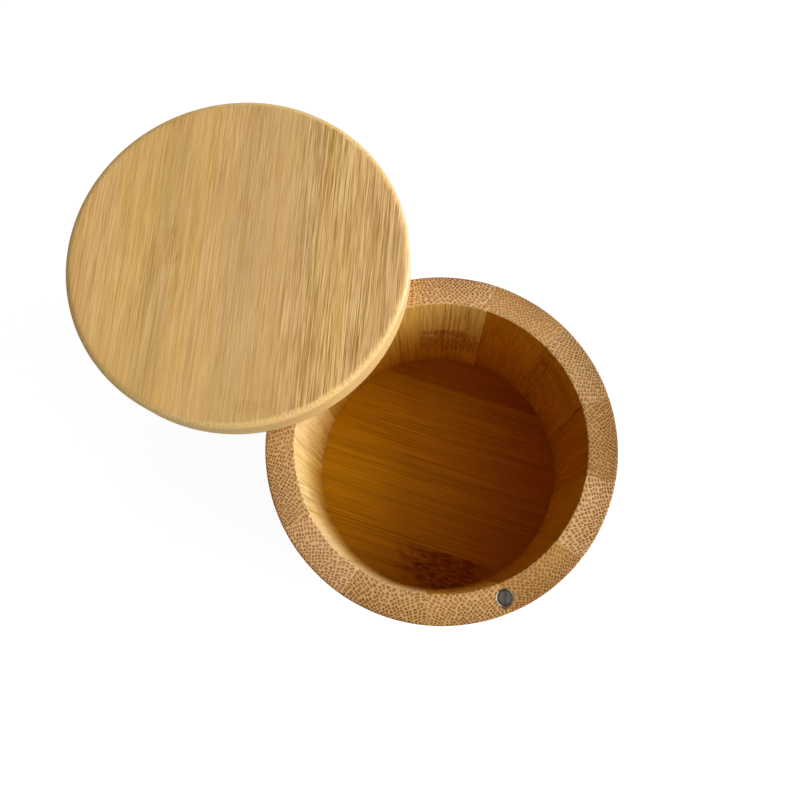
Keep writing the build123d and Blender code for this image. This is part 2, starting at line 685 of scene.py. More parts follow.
class BambooShader:
    """One piece's bamboo, worked out in the grain's own coordinates: across, through and along.

    The names that end in STEPS move a pattern by each piece's number, so that no two pieces have
    the same. Most pairs and fours are ranges to ease over: from where to where, and between
    which values where they aren't 0 and 1. Millimetres through are from the stem's inner side,
    and in the wall those along are from the foot.
    """

    OWN_STEPS = (17.3, 5.9, 29.1)
    WANDER_STEPS = (37.7, 21.3, 53.9)
    SHAKE_STEPS = (7.75, 0.0, 0.0)
    LATTICE_STEP = 7.0
    WANDER = (1.8, 1.8, 0.0)
    OUTER_SIDE = (0.5, 7.5)
    SKIN = (6.2, 7.5, 0.0)  # and up to the finish's own skin_shade
    SKIN_SIDE = (5.6, 7.4)
    UNDERSIDE = (0.5, 2.0, 1.0, 0.0)
    CELL_RANDOMNESS = 0.48
    SHAKE = 0.9
    CELL_STRENGTH = (0.0, 1.0, 0.8, 1.0)
    INNER_STRENGTH = 0.75
    DOT_FADE = (-0.13, 0.07)
    HEART = (0.03, 0.16, 0.35, 0.0)  # how much lighter a bundle's middle is
    NET = (0.04, 0.17)  # off the edge of a bundle's cell
    STRONG_PLACES = (0.35, 0.62, 0.65, 1.15)
    CALM_EDGES = (0.5, 0.95, 0.35, 1.0)  # how strong streaks are where a level surface turns down
    HIGHLIGHT_TILT = (0.92, 0.78, 0.0, 0.85)  # by how far the normal rises
    LIT_SIDE = (-20.0, 6.0, 0.45, 1.0)  # by the place across the grain, fuller on the lit side
    LINE_WIDTH = (0.0, 0.03, 1.0, 0.0)
    LINE_PLACES = (0.44, 0.58)
    COARSE_TONES = (0.4, 0.6, -0.1, 0.1)
    FINE_TONES = (0.39, 0.61, -0.2, 0.2)
    STIPPLE = 0.35
    STREAK_TAKES = (1.0, 1.3, 2.0)  # how much of a streak red, green and blue take
    BROAD_HUE = (0.0, -0.10, -0.35)  # the same of the slow drift of hue
    GROUP_HUE = (0.15, -0.2, -1.2)  # and of the drift from group to group
    MARK_RAGGEDNESS = 1.2
    MARK_STROKES = (0.42, 0.56, 0.35, 1.0)
    MARK_REACH = (0.45, 1.1)
    MARK_DEPTH = (1.0, 6.0, 1.0, 0.4)
    # where the painted shade of the inner face goes from the rim's colour to the foot's
    INNER_SHADE_HEIGHT = (60.0, 8.0)
    INNER_FACE = (1.2, 0.6)
    UPRIGHT_FACE = (0.55, 0.85, 1.0, 0.0)
    ROUND_START = (0.99, 0.88)
    ROUND_END = (0.2, 0.5)
    RIM_HIGHLIGHT_DEPTH = (1.6, 1.0, 0.0)  # and up to the finish's own strength of the painted rim highlight
    # the painted shade in the corner at the foot of the inner wall: its height and its specks
    CORNER_SHADE_HEIGHT = (11.5, 7.5, 0.0, 0.5)
    CORNER_SHADE_SPECKS = (0.4, 0.6, 0.3, 1.0)
    FAR_END = (-22.0, 36.0)
    ROUGHNESS = 0.5
    ROUGH_FIBRES = 0.2
    COARSE_RIDGES, FINE_RIDGES, SUNK_DOTS = 0.6, 0.5, -0.7
    RELIEF = 0.03

    def __init__(self, name: str, finish: BambooFinish, cut: Cut) -> None:
        """Starts the shader with what all its steps share.

        Args:
            name: the material's name.
            finish: the colours and strengths.
            cut: how the piece was sawn.
        """
        self.t, self.finish, self.cut = new_tree(name), finish, cut
        self.plain, self.at = self.coordinates()
        self.own = self.at + cut.apart(self.OWN_STEPS)
        self.plain_across, self.through, self.along = self.plain.split()
        self.coarse = self.fibres(Figure.COARSE)
        self.fine = self.fibres(Figure.FINE)
        self.pore = self.figure(Figure.PORE)
        self.dot, self.outer = self.bundles()
        self.bare = self.through.ease(*self.UNDERSIDE)
        normal = self.t.add("TexCoord", {}, "Normal")
        self.rise = normal.split()[2]
        run = (0.0, 0.0, 1.0) if cut.grain is Grain.UPRIGHT else (*turned(1.0, cut.heading), 0.0)
        self.end_on = abs(self.t.dot(normal, run)).ease(*finish.end_reach)
        self.side_on = 1.0 - self.end_on

    def coordinates(self) -> tuple[Wire, Wire]:
        """Works out the grain's coordinates, in millimetres.

        Returns:
            Across, through and along, straight and then with the fibres' slow wander.
        """
        turn = -math.radians(self.cut.heading)
        origin = -(Matrix.Rotation(turn, 3, "Z") @ Vector(self.cut.centre)) * METRE
        place = self.t.add("Mapping", {
            "Vector": self.t.add("TexCoord", {}, "Object"), "Rotation": (0.0, 0.0, turn), "Location": origin,
        }, vector_type="POINT")
        forward, side, up = (place * (1 / METRE)).split()
        upright = self.cut.grain is Grain.UPRIGHT
        plain = self.t.join(side, forward, up) if upright else self.t.join(side, up, forward)
        drift = self.t.noise(plain + self.cut.apart(self.WANDER_STEPS), Figure.WANDER.value)[1] - 0.5
        return plain, plain + drift * self.WANDER

    def figure(self, figure: Figure) -> Wire:
        """A noise of the piece's own, as a number."""
        return self.t.noise(self.own, figure.value)[0]

    def fibres(self, figure: Figure) -> Wire:
        """Adds a noise of the piece's own fibres.

        Args:
            figure: the noise, whose pitch along the grain is per fibre's length.

        Returns:
            The noise as a number. It changes along the fibres as fast as the finish says.
        """
        across, through, along = figure.value.pitch
        pitch = (across, through, along * self.finish.shortness)
        return self.t.noise(self.own, replace(figure.value, pitch=pitch))[0]

    def bundles(self) -> tuple[Wire, Wire]:
        """Where the fibre bundles are: 1 in the middle of one and 0 between them.

        The bundles stand on a lattice of diamonds in (across, through). Both are first divided
        by a pitch that shrinks as exp(-crowding * through), then u + v and u - v turn the
        lattice by an eighth, and a little noise breaks its order. Each bundle is round and fades
        out before the edge of its own cell, so that a thin pale net parts it from its
        neighbours. On the stem's inner side a bundle has a lighter heart.

        Returns:
            The bundles, and how near the outer side of the stem the point is, 0 to 1.
        """
        t, finish = self.t, self.finish
        across, through, _ = self.at.split()
        growth = t.step("EXPONENT", through * finish.crowding)
        scale = 1 / (math.sqrt(2) * finish.bundle_pitch)
        shake = t.noise(self.at + self.cut.apart(self.SHAKE_STEPS), Figure.SHAKE.value)[1] - 0.5
        shake_u, shake_v, _ = (shake * self.SHAKE).split()
        u = across * growth * scale + shake_u
        v = (growth - 1.0) * (scale / finish.crowding) + shake_v
        lattice = t.join(u + v + self.cut.number * self.LATTICE_STEP, u - v, 0.0)
        middle, net, chance = t.cells(lattice, self.CELL_RANDOMNESS)
        outer = through.ease(*self.OUTER_SIDE)
        by_depth = outer * (1.0 - self.INNER_STRENGTH) + self.INNER_STRENGTH
        strength = chance.split()[0].ease(*self.CELL_STRENGTH) * by_depth
        round_ = middle.ease(*(finish.dot_size + fade for fade in self.DOT_FADE), 1.0, 0.0)
        heart = middle.ease(*self.HEART) * (1.0 - outer)
        return (round_ - heart) * strength * net.ease(*self.NET), outer

    def base(self) -> Wire:
        """Colours the cut ends and the sides, with the fine lines on them.

        The lines follow one contour of a noise that is drawn out along the grain.

        Returns:
            The colour before its streaks.
        """
        t, finish = self.t, self.finish
        bundle = linear(finish.bundle)
        between = t.blend(self.outer, linear(finish.end_ground), linear(finish.skin_ground))
        ends = t.blend(self.dot * finish.dot_contrast, between, bundle)
        ends = t.blend(self.through.ease(*self.SKIN, finish.skin_shade), ends, bundle)
        sides = linear(finish.ground)
        # painted highlight: the rounded edge is paler where it turns down, fuller on the side towards the
        # light
        if finish.edge:
            edge_highlight = (abs(self.rise) + (self.fine - 0.5)).ease(*self.HIGHLIGHT_TILT)
            sides = t.blend(edge_highlight * self.plain_across.ease(*self.LIT_SIDE), sides, linear(finish.edge))
        if finish.skin_side:
            sides = t.blend(self.through.ease(*self.SKIN_SIDE), sides, linear(finish.skin_side))
        if finish.under:
            sides = t.blend(self.bare, sides, linear(finish.under))
        thin = abs(self.figure(Figure.CONTOUR) - 0.5).ease(*self.LINE_WIDTH)
        length = self.figure(Figure.LENGTH).ease(*self.LINE_PLACES)
        colour = t.blend(self.end_on, sides, ends)
        return t.blend(thin * length * self.side_on * finish.lines, colour, linear(finish.line))

    def toned(self, colour: Wire) -> Wire:
        """Adds streaks, stipple, bands and drifts of tone and hue.

        Darker fibres are browner, so green and blue follow the streaks more than red does.

        Args:
            colour: the colour without them.

        Returns:
            The colour with them.
        """
        t, finish = self.t, self.finish
        across = self.at.split()[0]
        vigour = self.figure(Figure.VIGOUR).ease(*self.STRONG_PLACES)
        for band in finish.bands:
            vigour = vigour + band.over(across, band.vigour)
        if self.cut.grain is Grain.LEVEL:
            vigour = vigour * abs(self.rise).ease(*self.CALM_EDGES)
        middle, group = t.noise(self.own, Figure.GROUP.value)
        broad, hue = t.noise(self.own, Figure.BROAD.value)
        tone = self.coarse.ease(*self.COARSE_TONES) + self.fine.ease(*self.FINE_TONES)
        tone = (tone + (middle - 0.5) * finish.grouping) * vigour * self.side_on * finish.streaks
        tone = tone + (self.pore - 0.5) * self.end_on * self.STIPPLE
        tone = tone + (broad - 0.5) * (finish.tone_drift * 2)
        gain = tone * self.STREAK_TAKES + 1.0
        for band in finish.bands:
            gain = gain - band.over(across, band.shade) * self.side_on * band.takes
        group_hue = tuple(share * finish.hue_drift for share in self.GROUP_HUE)
        warm = (hue - 0.5) * self.BROAD_HUE + (group - 0.5) * group_hue + 1.0
        return colour * gain * warm

    def marked(self, colour: Wire, marks: tuple[NodeMark, ...]) -> Wire:
        """Adds the marks of the stem's joints.

        Each mark fills an ellipse whose edge noise makes ragged, and is broken into specks and
        short strokes along the grain. In the wall the marks fade towards the stem's skin.

        Args:
            colour: the colour without them.
            marks: where the joints are.

        Returns:
            The colour with them.
        """
        t = self.t
        ragged = (t.noise(self.plain, Figure.RAGGED.value)[0] - 0.5) * self.MARK_RAGGEDNESS
        stroke = t.noise(self.plain, Figure.SPECK.value)[0].ease(*self.MARK_STROKES)
        dark = 0.0
        for mark in marks:
            off = (self.plain - (mark.across, 0.0, mark.along)) * (1 / mark.wide, 0.0, 1 / mark.tall)
            reach = (t.length(off) + ragged).ease(*self.MARK_REACH, mark.strength, 0.0)
            dark = t.step("MAXIMUM", dark, reach * stroke)
        if self.cut.grain is Grain.UPRIGHT:
            dark = dark * self.through.ease(*self.MARK_DEPTH)
        return t.blend(dark, colour, (*self.finish.mark_tint, 1.0), "MULTIPLY")

    def painted_inner_light(self, colour: Wire) -> Wire:
        """Adds painted light inside the box: painted shade that deepens towards the foot, a painted
        highlight on the rim's inner edge, and painted shade in the corner at the foot.

        Args:
            colour: the colour without it.

        Returns:
            The colour with it.
        """
        t, finish = self.t, self.finish
        # painted shade: the inner face darkens and turns more orange from the rim down to the foot
        inner_shade = t.blend(self.along.ease(*self.INNER_SHADE_HEIGHT), linear(finish.painted_rim_shade), linear(finish.painted_foot_shade))
        inside = self.through.ease(*self.INNER_FACE) * self.rise.ease(*self.UPRIGHT_FACE)
        colour = t.blend(inside, colour, inner_shade, "MULTIPLY")
        # painted highlight: the rim's inner round is painted pale where light catches it
        lit_rim = self.rise.ease(*self.ROUND_START) * self.rise.ease(*self.ROUND_END)
        lit_rim = lit_rim * self.through.ease(*self.RIM_HIGHLIGHT_DEPTH, finish.rim_highlight)
        colour = t.blend(lit_rim, colour, linear(RIM_HIGHLIGHT_COLOUR))
        # painted shade: a darker, speckled band in the corner at the foot of the inner wall
        corner_shade = self.along.ease(*self.CORNER_SHADE_HEIGHT) * self.pore.ease(*self.CORNER_SHADE_SPECKS)
        return t.blend(corner_shade * inside, colour, CORNER_SHADE_TINT, "MULTIPLY")

    def material(self, marks: tuple[NodeMark, ...]) -> bpy.types.Material:
        """Puts the steps together.

        Args:
            marks: the joints of the stem that show on the piece.

        Returns:
            The material.
        """
        t, finish = self.t, self.finish
        colour = self.toned(self.base())
        if marks:
            colour = self.marked(colour, marks)
        # painted shade and highlight inside the box
        if finish.painted_rim_shade:
            colour = self.painted_inner_light(colour)
        # painted shade: the floor darkens towards its far end, the side that the wall shades from the light;
        # not on its underside
        if finish.far_shade:
            far = self.along.ease(*self.FAR_END) * (1.0 - self.bare)
            colour = t.blend(far, colour, linear(finish.far_shade), "MULTIPLY")
        ridges = (self.coarse * self.COARSE_RIDGES + self.fine * self.FINE_RIDGES) * self.side_on
        return t.surface({
            "Base Color": colour,
            "Roughness": (self.fine - 0.5) * self.ROUGH_FIBRES + self.ROUGHNESS,
            "Specular IOR Level": finish.gloss,
        }, self.dot * self.end_on * self.SUNK_DOTS + ridges, self.RELIEF)


@dataclass(frozen=True)
class MetalFinish:
    """Plated or ground metal with fine scuffs.

    Attributes:
        colour: of the metal.
        roughness: of its bright places.
        scuffs: how much rougher its dull places are.
        cloud: how much its tone varies.
        edge_shade: how dark it is at the edge of a disc, as a share of its middle.
        bar_shade: how dark the painted reflection of a bar across a disc's middle is, as a share.
    """

    colour: Colour
    roughness: float
    scuffs: float
    cloud: float
    edge_shade: float = 1.0
    bar_shade: float = 1.0

    CLOUDS = Noise((0.9, 0.9, 0.9), 3.0, 0.6)
    SCUFFS = Noise((9.0, 2.5, 5.0), 3.0, 0.7)
    EDGE = (0.66, 0.84)  # where the shade of the edge starts and ends, as shares of the radius
    BAR = (0.02, 0.26)  # the same for the painted reflection of the bar
    BAR_WAVER = 0.6
    DULL_PLACES = (0.35, 0.7)
    CLOUD_RELIEF, SCUFF_RELIEF, RELIEF = 0.6, 0.4, 0.03

    def material(self, name: str, centre: Point, radius: float) -> bpy.types.Material:
        """Makes the finish: clouded metal with short scuffs, darker at the edge of its disc, and with
        a painted reflection of a dark bar across it.

        Args:
            name: the material's name.
            centre: the disc's axis, as x and y.
            radius: the disc's radius.

        Returns:
            The material.
        """
        t = new_tree(name)
        place = t.place()
        off = (place - (*centre, 0.0)) * (1.0, 1.0, 0.0)
        clouds = t.noise(place, self.CLOUDS)[0]
        scuff = t.noise(place, self.SCUFFS)[0]
        edge = t.length(off).ease(*(radius * share for share in self.EDGE), 1.0, self.edge_shade)
        # painted reflection: a dark bar across the disc's middle, level in the picture
        side = t.dot(off, (*turned(1 / radius, PICTURE_RIGHT), 0.0)) + (clouds - 0.5) * self.BAR_WAVER
        bar = abs(side).ease(*self.BAR, self.bar_shade, 1.0)
        gain = ((clouds - 0.5) * self.cloud + 1.0) * edge * bar
        return t.surface({
            "Base Color": gain * linear(self.colour)[:3],
            "Metallic": 1.0,
            "Roughness": scuff.ease(*self.DULL_PLACES, self.roughness, self.roughness + self.scuffs),
        }, clouds * self.CLOUD_RELIEF + scuff * self.SCUFF_RELIEF, self.RELIEF)


@dataclass(frozen=True)
class GlueFinish:
    """Dried glue in the gap that it fills, pale at two sides and dark with painted shade between,
    and brown on the wood where it ran out and where it paints the pocket's shadow.

    Attributes:
        gap: its colour at two opposite sides of the gap.
        gap_shade: its colour between them, a painted shade of the gap.
        smear_and_shadow: its colour on the wood, where glue ran out, and also a painted shadow by
            the pocket's edge.
        reach: the radius at which the gap ends.
        heading: of the pale sides, in degrees from +X.
    """

    gap: Colour = (186, 176, 142)
    gap_shade: Colour = (72, 54, 36)
    smear_and_shadow: Colour = (100, 66, 40)
    reach: float = 2.14
    heading: float = PICTURE_RIGHT + 12.0

    MOTTLE = Noise((1.6, 1.6, 1.6), 3.0)
    PALE_SIDES = (0.4, 0.75)  # as cosines of the angle from their heading
    RUN_OUT = 0.1  # how ragged and how soft the edge on the wood is
    TONES = (0.3, 0.7, 0.8, 1.15)
    ROUGHNESS = (0.3, 0.7, 0.35, 0.6)
    GLOSS, RELIEF = 0.25, 0.05

    def material(self, name: str, centre: Point) -> bpy.types.Material:
        """Makes the finish, mottled and with a slight gloss.

        Args:
            name: the material's name.
            centre: the gap's axis, as x and y.

        Returns:
            The material.
        """
        t = new_tree(name)
        place = t.place()
        off = (place - (*centre, 0.0)) * (1.0, 1.0, 0.0)
        away = t.length(off)
        mottle = t.noise(place, self.MOTTLE)[0]
        pale = abs(t.dot(off, (*turned(1.0, self.heading), 0.0)) / away).ease(*self.PALE_SIDES)
        # painted shade: the glue is dark between its two pale sides
        filled = t.blend(pale, linear(self.gap_shade), linear(self.gap))
        run_out = (away + mottle * self.RUN_OUT).ease(self.reach, self.reach + self.RUN_OUT)
        # beyond the gap: the colour where glue ran out, which along the lip is a painted shadow of the
        # pocket's edge
        colour = t.blend(run_out, filled, linear(self.smear_and_shadow))
        return t.surface({
            "Base Color": colour * mottle.ease(*self.TONES),
            "Roughness": mottle.ease(*self.ROUGHNESS),
            "Specular IOR Level": self.GLOSS,
        }, mottle, self.RELIEF)


def dress(piece: bpy.types.Object, material: bpy.types.Material, body: str, slot: str, *nodes: str) -> None:
    """Gives a piece its finish, its body and the CAD nodes that it stands for, and reports it.

    Args:
        piece: the finished piece.
        material: its finish.
        body: the body that it rides on.
        slot: the record's material slot, which is not read here.
        nodes: the CAD nodes that it replaces.
    """
    piece.data.materials.clear()
    piece.data.materials.append(material)
    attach(piece, body)
    if nodes:
        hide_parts(*nodes)
    log.info("%s rides on %s with %d faces", piece.name, body, len(piece.data.polygons))


# Sub-assemblies


@dataclass(frozen=True)
class StaveCharacter:
    """What sets one stave apart from the next.

    Attributes:
        lightness: its tone, where 1 is the ring's mean.
        warmth: how red it is, below 0 for yellower.
        dots: how strongly its bundles show, where 1 is the ring's mean.
        pitch: how widely its bundles stand, where 1 is the ring's mean.
        rim_shade: painted shade: the colour that its inner face is multiplied by at the rim.
        foot_shade: the same at the foot.
        lines: how strongly its fine dark lines show, where 1 is the ring's mean.
        streaks: how strongly its lighter and darker fibres show, where 1 is the ring's mean.
        shortness: how soon a fibre's tone changes along it, per millimetre.
        rim_highlight: how strongly its inner edge at the rim is painted pale as a highlight, 0 to 1.
        step: how far its inner face stands back from the ring's.
        marks: the stem's joints that show on it.
        bands: darker fibres that run all along it.
    """

    lightness: float
    warmth: float
    dots: float
    pitch: float
    rim_shade: Colour
    foot_shade: Colour
    lines: float = 1.0
    streaks: float = 1.0
    shortness: float = 0.04
    rim_highlight: float = 0.3
    step: float = 0.0
    marks: tuple[NodeMark, ...] = ()
    bands: tuple[ToneBand, ...] = ()

    LIGHTNESS_POWER = 0.45
    WARM_TAKES = (0.0, 0.12, 0.5)  # how much of red, green and blue a warmth of 1 takes

    def tone(self, colour: Colour) -> Colour:
        """Gives one of the ring's colours the stave's tone.

        Args:
            colour: the ring's colour.

        Returns:
            The stave's colour.
        """
        light = self.lightness ** self.LIGHTNESS_POWER
        warm = (1 - self.warmth * takes for takes in self.WARM_TAKES)
        return tuple(min(255, int(channel * light * gain)) for channel, gain in zip(colour, warm))

    def finish(self, ring: BambooFinish) -> BambooFinish:
        """Gives the ring's finish the stave's own character.

        Args:
            ring: the ring's finish.

        Returns:
            The stave's finish.
        """
        names = ("ground", "end_ground", "skin_ground", "skin_side", "bundle")
        return replace(
            ring,
            **{name: self.tone(getattr(ring, name)) for name in names},
            dot_contrast=min(1.0, ring.dot_contrast * self.dots),
            bundle_pitch=ring.bundle_pitch * self.pitch,
            lines=ring.lines * self.lines,
            streaks=ring.streaks * self.streaks,
            shortness=self.shortness,
            rim_highlight=self.rim_highlight,
            painted_rim_shade=self.rim_shade,
            painted_foot_shade=self.foot_shade,
            bands=self.bands,
        )


@dataclass
class StaveRing:
    """The wall: a ring of glued staves, turned round inside and out.

    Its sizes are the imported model's in millimetres, but for a hundredth less at the outside,
    which keeps the smoother round within the model's facets, and a smaller round on the rim's
    outer edge.
    """

    outer_radius: float = 44.49
    inner_radius: float = 36.9
    rebate_radius: float = 39.9
    height: float = 62.5
    floor_thickness: float = 7.0
    rim_outer_round: float = 0.5
    rim_inner_round: float = 0.35
    base_round: float = 1.0
    first_joint: float = -85.0
    pivot_heading: float = 90.0
    pin_hole_radius: float = 1.52
    pin_hole_depth: float = 18.0
    pocket_radius: float = 2.15
    pocket_depth: float = 2.1
    groove_depth: float = 0.05
    groove_width: float = 0.2
    groove_on_level: float = 0.2  # how much of its depth it has where the surface is level
    wave_height: float = 0.02
    wave_up: float = 0.11  # radians per millimetre up the stave
    wave_across: float = 5.0  # radians from joint to joint
    chips: int = 6
    chip_place: Point = (0.02, 0.98)  # as shares of the width
    chip_depth: Point = (0.02, 0.14)
    chip_width: Point = (0.2, 0.6)
    corner_depth: Point = (0.05, 0.2)
    corner_width: float = 0.5
    chip_inset: float = 0.1
    chip_reach: float = 0.35
    by_joint: tuple[float, ...] = (0.0, 0.0012, 0.0028, 0.0055, 0.011, 0.02)  # as shares of the width
    between: tuple[float, float, int] = (0.035, 0.965, 52)
    level_from: float = 0.9  # the least that the normal of a level surface rises
    on_face: float = 0.1  # points nearer to the inner radius than this are on the inner face
    finish: BambooFinish = BambooFinish(
        gloss=0.08, skin_side=(186, 158, 106), skin_shade=0.22, mark_tint=(0.5, 0.24, 0.08),
    )
    # each stave's painted shade inside and painted rim highlight are set by where the light falls on it
    characters: tuple[StaveCharacter, ...] = (
        StaveCharacter(0.79, 0.28, 0.88, 1.05, (212, 158, 40), (232, 189, 64), lines=0.4, streaks=2.4,
                       rim_highlight=0.0),
        StaveCharacter(1.04, -0.16, 1.05, 1.08, (188, 130, 16), (226, 181, 46), lines=0.4, streaks=1.8,
                       rim_highlight=0.0, step=0.05),
        StaveCharacter(0.76, 0.2, 1.05, 0.92, (215, 147, 34), (248, 189, 60), lines=0.3, streaks=2.0,
                       rim_highlight=0.0, step=0.28),
        StaveCharacter(0.92, -0.10, 1.0, 0.96, (210, 148, 34), (226, 167, 54), lines=0.2, streaks=2.4,
                       shortness=0.14, rim_highlight=0.0, step=0.1, marks=(NodeMark(0.0, 52.5, 16.0, 4.5, 0.5),)),
        StaveCharacter(0.96, 0.05, 0.82, 0.95, (226, 169, 38), (226, 165, 48), lines=0.2, streaks=1.8,
                       shortness=0.12, step=0.28),
        StaveCharacter(1.07, -0.16, 1.1, 1.0, (255, 236, 170), (242, 190, 52), lines=0.9, streaks=1.6,
                       marks=(NodeMark(-1.0, 28.0, 14.0, 11.5, 0.72), NodeMark(0.5, 37.0, 9.6, 3.4, 0.85)),
                       bands=tuple(ToneBand(across, 0.32, shade, takes=(0.7, 1.0, 0.8)) for across, shade in
                                   ((-3.9, 0.2), (-2.4, 0.36), (-1.1, 0.3), (0.3, 0.38), (1.9, 0.3)))),
        StaveCharacter(1.0, 0.0, 1.0, 1.0, (255, 236, 164), (246, 192, 62), streaks=1.5, step=0.04),
        StaveCharacter(0.95, 0.05, 1.0, 0.96, (252, 236, 190), (240, 200, 100), step=-0.02),
        StaveCharacter(1.02, -0.05, 0.95, 1.04, (255, 255, 250), (255, 234, 166), streaks=1.6, step=0.03),
        StaveCharacter(1.01, -0.05, 1.05, 1.0, (255, 255, 246), (234, 200, 110), streaks=1.6),
        StaveCharacter(1.08, -0.14, 0.95, 1.06, (248, 248, 232), (243, 214, 122), step=0.05),
        StaveCharacter(0.94, 0.02, 1.35, 1.08, (255, 255, 255), (248, 214, 122), lines=0.7, streaks=1.2,
                       rim_highlight=0.2, step=0.02),
        StaveCharacter(1.02, 0.0, 1.0, 1.05, (240, 212, 132), (222, 182, 66), lines=0.8, streaks=2.6,
                       rim_highlight=0.0, step=0.04),
    )

    def section(self) -> Section:
        """Draws the wall's section.

        Returns:
            The section, from the floor's shoulder up the inside, over the rim and down.
        """
        inner, outer, rebate = self.inner_radius, self.outer_radius, self.rebate_radius
        top, shoulder = self.height, self.floor_thickness
        soft, edge, foot = self.rim_inner_round, self.rim_outer_round, self.base_round
        return Section([
            straight([(inner, shoulder), (inner, top - soft)], [40]),
            rounded((inner + soft, top - soft), soft, 180, 90, 6),
            straight([(inner + soft, top), (outer - edge, top)], [18]),
            rounded((outer - edge, top - edge), edge, 90, 0, 8),
            straight([(outer, top - edge), (outer, foot)], [40]),
            rounded((outer - foot, foot), foot, 0, -90, 8),
            straight([(outer - foot, 0.0), (rebate, 0.0)], [8]),
            straight([(rebate, 0.0), (rebate, shoulder), (inner, shoulder)], [3, 3], shows=False),
        ], closed=True)

    def stave(self, number: int) -> bpy.types.Object:
        """Builds one stave.

        The section is carried round from one joint to the next. Each point then moves along the
        section's normal by a height that is the sum of: a shallow V at the joints, depth *
        (1 - distance / width); the stave's own step on its inner face; a slow wave that fades at
        the joints; and chips, each a bell-shaped dent, along the rim's inner edge.

        Args:
            number: the stave's number, from 1.

        Returns:
            The stave's object.
        """
        pitch = 2 * math.pi / len(self.characters)
        near = np.array(self.by_joint)
        share = np.concatenate((near, np.linspace(*self.between), 1 - near[::-1]))
        heading = math.radians(self.first_joint) + (number - 1) * pitch + pitch * share
        section = self.section()
        radius, height = section.points[:, 0][:, None], section.points[:, 1][:, None]
        out, up = section.outward()[:, 0][:, None], section.outward()[:, 1][:, None]
        level = np.abs(up) > self.level_from
        from_joint = radius * pitch * np.minimum(share, 1 - share)
        groove = -self.groove_depth * np.clip(1 - from_joint / self.groove_width, 0, 1)
        groove = groove * np.where(level, self.groove_on_level, 1)
        step = -self.characters[number - 1].step * (np.abs(radius - self.inner_radius) < self.on_face)
        rng = np.random.default_rng(number)
        phase = height * self.wave_up + share * self.wave_across + rng.uniform(0, 2 * np.pi, 2).sum()
        wave = -self.wave_height * np.sin(np.pi * share) ** 2 * (1 + np.sin(phase))
        lift = (groove + step + np.where(level, 0, wave)) * section.shows[:, None]
        edge = np.hypot(radius - self.inner_radius - self.chip_inset, height - self.height + self.chip_inset)
        dents = self.dents(rng, share * pitch * self.inner_radius)
        lift = lift - np.exp(-(edge / self.chip_reach) ** 2) * dents
        r, z = radius + lift * out, height + lift * up
        points = np.stack((r * np.cos(heading), r * np.sin(heading), z), axis=-1).reshape(-1, 3)
        rows, columns = len(radius), len(heading)
        first = np.arange(rows) * columns
        faces = [grid_faces(rows, columns, True, False), np.stack((first, first[::-1] + columns - 1))]
        return to_mesh(f"stave_{number:02d}", points, faces)

    def dents(self, rng: np.random.Generator, along: np.ndarray) -> np.ndarray:
        """The depth of the chips along a stave's edge, with one more at each of its ends.

        A chip's depth is depth * exp(-((along - place) / width)^2).

        Args:
            rng: where the chips' places and sizes come from.
            along: how far along the edge each point is.

        Returns:
            The depth at each point.
        """
        place = along[-1] * np.concatenate((rng.uniform(*self.chip_place, self.chips), (0.0, 1.0)))
        depth = rng.uniform(*self.chip_depth, self.chips)
        width = rng.uniform(*self.chip_width, self.chips)
        depth = np.concatenate((depth, rng.uniform(*self.corner_depth, 2)))
        width = np.concatenate((width, [self.corner_width] * 2))
        return (depth[:, None] * np.exp(-((along - place[:, None]) / width[:, None]) ** 2)).sum(axis=0)

    def build(self) -> None:
        """Builds, bores and dresses every stave."""
        pitch = 360 / len(self.characters)
        swing = (self.outer_radius + self.inner_radius) / 2
        clear = self.height + BORE_CLEAR
        pin, magnet = turned(swing, self.pivot_heading), turned(swing, self.first_joint)
        pin_hole = Bore(pin, self.pin_hole_radius, self.height - self.pin_hole_depth, clear)
        pocket = Bore(magnet, self.pocket_radius, self.height - self.pocket_depth, clear)
        for number, character in enumerate(self.characters, start=1):
            piece = self.stave(number)
            middle = self.first_joint + (number - 0.5) * pitch
            if abs(middle - self.pivot_heading) < pitch / 2:
                pin_hole.cut(piece)
            if number in (1, len(self.characters)):
                pocket.cut(piece)
            cut = Cut(Grain.UPRIGHT, middle, (*turned(self.inner_radius, middle), 0.0), number)
            finish = character.finish(self.finish)
            material = finish.material(f"bamboo_stave_{number:02d}", cut, character.marks)
            dress(piece, material, "box", "bamboo_wall", f"wall_stave_{number:02d}")


